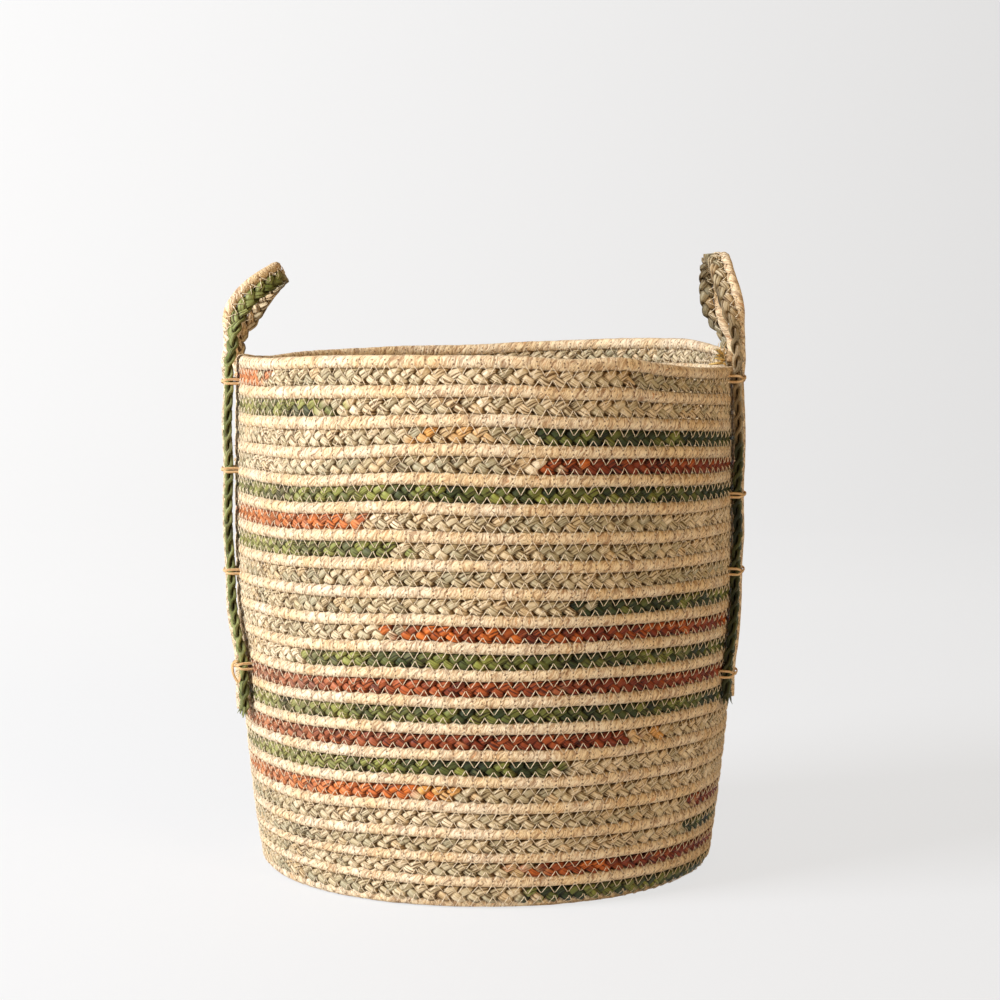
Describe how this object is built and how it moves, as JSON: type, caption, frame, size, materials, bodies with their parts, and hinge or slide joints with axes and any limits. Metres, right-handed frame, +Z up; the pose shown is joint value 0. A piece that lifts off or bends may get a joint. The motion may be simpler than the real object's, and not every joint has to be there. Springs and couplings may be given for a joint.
{
  "type": "rope basket",
  "caption": "Tall round open basket coiled from a dyed husk braid and a cream husk cord sewn edge to edge, with two strap handles that flex at the rim.",
  "frame": {"origin": "on the floor under the middle of the basket's round base", "axes": "+Z up along the basket's height, +X towards the right handle, +Y to the rear, away from the camera, across the line between the handles"},
  "size_m": [0.3973, 0.3918, 0.4738],
  "materials": {
    "husk_cord": "matt, undyed cream husk wrapped and twisted into a cord",
    "husk_braid": "matt plaited husk, in runs of natural olive, green and rust dye",
    "strap_braid": "matt plaited husk, green and natural",
    "strap_cord": "matt cream twisted husk cord",
    "husk_tie": "matt tan husk strand"
  },
  "bodies": {
    "root": {"base_cord": "husk_cord", "base_braid": "husk_braid", "lower_wall_cord": "husk_cord", "lower_wall_braid": "husk_braid", "upper_wall_cord": "husk_cord", "upper_wall_braid": "husk_braid", "left_front_leg_braid": "strap_braid", "left_front_leg_cord": "strap_cord", "left_front_tie_1": "husk_tie", "left_front_tie_2": "husk_tie", "left_front_tie_3": "husk_tie", "left_front_tie_4": "husk_tie", "left_rear_leg_braid": "strap_braid", "left_rear_leg_cord": "strap_cord", "left_rear_tie_1": "husk_tie", "left_rear_tie_2": "husk_tie", "left_rear_tie_3": "husk_tie", "left_rear_tie_4": "husk_tie", "right_front_leg_braid": "strap_braid", "right_front_leg_cord": "strap_cord", "right_front_tie_1": "husk_tie", "right_front_tie_2": "husk_tie", "right_front_tie_3": "husk_tie", "right_front_tie_4": "husk_tie", "right_rear_leg_braid": "strap_braid", "right_rear_leg_cord": "strap_cord", "right_rear_tie_1": "husk_tie", "right_rear_tie_2": "husk_tie", "right_rear_tie_3": "husk_tie", "right_rear_tie_4": "husk_tie"},
    "left_loop": {"left_loop_braid": "strap_braid", "left_loop_cord": "strap_cord"},
    "right_loop": {"right_loop_braid": "strap_braid", "right_loop_cord": "strap_cord"}
  },
  "joints": [
    {"name": "left_loop_flex", "type": "hinge", "parent": "root", "child": "left_loop", "pos_m": [-0.19064, 0, 0.40515], "axis": [0, 1, 0], "range_deg": [-35, 40], "stiffness_Nm_per_rad": 0.3},
    {"name": "right_loop_flex", "type": "hinge", "parent": "root", "child": "right_loop", "pos_m": [0.19054, 0, 0.4073], "axis": [0, -1, 0], "range_deg": [-30, 45], "stiffness_Nm_per_rad": 0.3}
  ]
}
